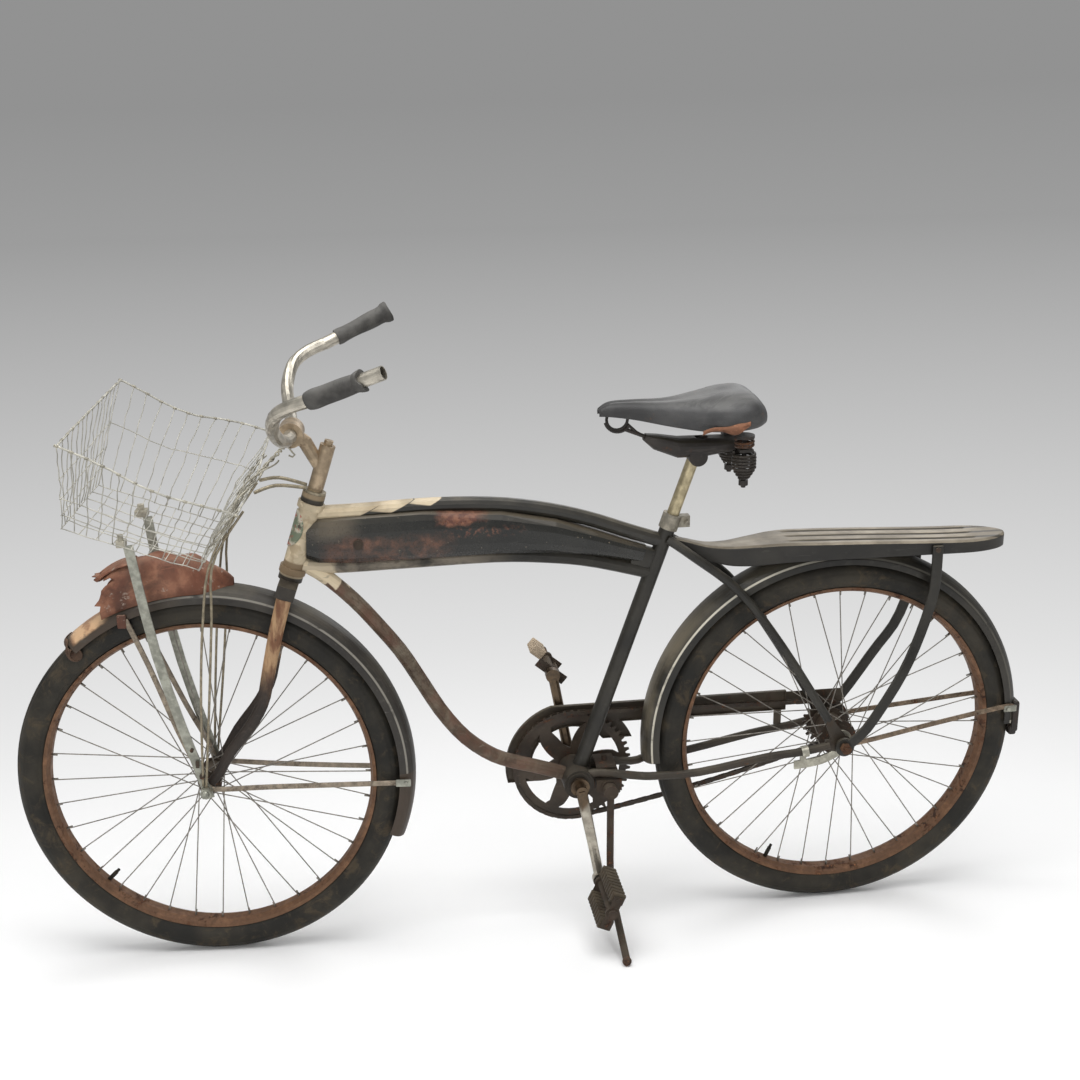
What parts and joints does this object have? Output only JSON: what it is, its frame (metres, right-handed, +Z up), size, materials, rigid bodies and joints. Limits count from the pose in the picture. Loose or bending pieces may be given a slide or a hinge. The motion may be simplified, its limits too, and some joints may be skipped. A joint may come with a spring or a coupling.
{
  "type": "balloon-tyre bicycle",
  "caption": "Rusty balloon-tyre bicycle with tank frame, wire basket, rear carrier and sprung saddle, leaning on its side stand.",
  "frame": {"origin": "on the ground, at the middle of the parked bicycle's footprint box", "axes": "+X towards the front wheel along the bicycle's length, +Y towards the rider's left, which is the side it leans to, +Z up"},
  "size_m": [1.79, 0.5773, 1.1294],
  "materials": {
    "cream_paint": "chipped cream enamel over steel",
    "black_paint": "worn black enamel with rust at the edges",
    "brown_paint": "faded maroon enamel, half rust",
    "tank_paint": "glossy black enamel with large rust patches",
    "rusty_steel": "bare steel, evenly rusted",
    "orange_rust": "bare steel, bright flaking rust",
    "worn_chrome": "pitted chrome, brown in the pits",
    "galvanised": "dull zinc-coated steel",
    "aged_brass": "tarnished plated post",
    "olive_paint": "dusty olive-brown mudguard",
    "rack_paint": "dusty grey-tan sheet",
    "saddle_leather": "smooth worn black cover",
    "black_spring": "blackened spring steel",
    "tyre_rubber": "dusty perished rubber",
    "rim_rust": "copper-brown rusted rim",
    "spoke_steel": "dull spoke wire",
    "grip_rubber": "torn dark grey rubber",
    "basket_wire": "pale zinc-coated wire",
    "pedal_block": "hardened olive-brown block",
    "pale_block": "bleached broken block"
  },
  "bodies": {
    "frame": {"head_tube": "cream_paint", "top_tube": "black_paint", "tank_bar": "brown_paint", "tank": "tank_paint", "down_tube": "brown_paint", "seat_tube": "black_paint", "bottom_bracket": "black_paint", "chain_stays": "black_paint", "seat_stays": "black_paint", "seat_clamp": "rack_paint", "seat_post": "aged_brass", "saddle": "saddle_leather", "saddle_frame": "orange_rust", "saddle_springs": "black_spring", "rear_fender": "olive_paint", "rear_fender_braces": "rusty_steel", "rack": "rack_paint", "rack_legs": "black_paint", "chain_guard": "rusty_steel", "chain": "black_spring", "brake_arm": "worn_chrome", "rear_axle": "orange_rust", "stand_bracket": "rusty_steel"},
    "fork": {"fork": "black_paint", "fork_blades": "orange_rust", "stem": "orange_rust", "handlebar": "worn_chrome", "left_grip": "grip_rubber", "right_grip": "grip_rubber", "front_fender": "black_paint", "front_fender_braces": "rusty_steel", "fender_light": "rusty_steel", "basket": "basket_wire", "basket_struts": "galvanised", "basket_stays": "galvanised", "front_axle": "galvanised"},
    "front_wheel": {"front_tyre": "tyre_rubber", "front_rim": "rim_rust", "front_spokes": "spoke_steel", "front_hub": "rusty_steel"},
    "rear_wheel": {"rear_tyre": "tyre_rubber", "rear_rim": "rim_rust", "rear_spokes": "spoke_steel", "rear_hub": "rusty_steel"},
    "crank": {"crank": "worn_chrome", "chainring": "rusty_steel"},
    "left_pedal": {"left_pedal": "pedal_block"},
    "right_pedal": {"right_pedal": "pale_block"},
    "rear_sprocket": {"rear_sprocket": "black_spring"},
    "side_stand": {"side_stand": "rusty_steel"}
  },
  "joints": [
    {"name": "steering", "type": "hinge", "parent": "frame", "child": "fork", "pos_m": [0.40552, -0.04558, 0.69413], "axis": [-0.3097, 0.1324, 0.9416], "range_deg": [-53.7, 66.3]},
    {"name": "front_wheel_spin", "type": "hinge", "parent": "fork", "child": "front_wheel", "pos_m": [0.56371, -0.10069, 0.33132], "axis": [0.1044, 0.989, -0.1047], "continuous": true},
    {"name": "rear_wheel_spin", "type": "hinge", "parent": "frame", "child": "rear_wheel", "pos_m": [-0.55308, -0.09666, 0.33002], "axis": [0.0001, 0.9903, -0.1392], "continuous": true},
    {"name": "crank_spin", "type": "hinge", "parent": "frame", "child": "crank", "pos_m": [-0.07704, -0.10403, 0.27788], "axis": [0.0001, 0.9903, -0.1392], "continuous": true},
    {"name": "left_pedal_spin", "type": "hinge", "parent": "crank", "child": "left_pedal", "pos_m": [-0.10591, 0.01667, 0.09481], "axis": [0.0001, 0.9903, -0.1392], "continuous": true},
    {"name": "right_pedal_spin", "type": "hinge", "parent": "crank", "child": "right_pedal", "pos_m": [-0.04817, -0.22473, 0.46094], "axis": [0.0001, 0.9903, -0.1392], "continuous": true},
    {"name": "sprocket_spin", "type": "hinge", "parent": "frame", "child": "rear_sprocket", "pos_m": [-0.55308, -0.14023, 0.33615], "axis": [0.0001, 0.9903, -0.1392], "continuous": true},
    {"name": "stand_fold", "type": "hinge", "parent": "frame", "child": "side_stand", "pos_m": [-0.13203, -0.06015, 0.25955], "axis": [0.0001, 0.9903, -0.1392], "range_deg": [0, 90]}
  ],
  "couplings": [
    {"joint": "sprocket_spin", "follows": "crank_spin", "ratio": 2.6}
  ]
}
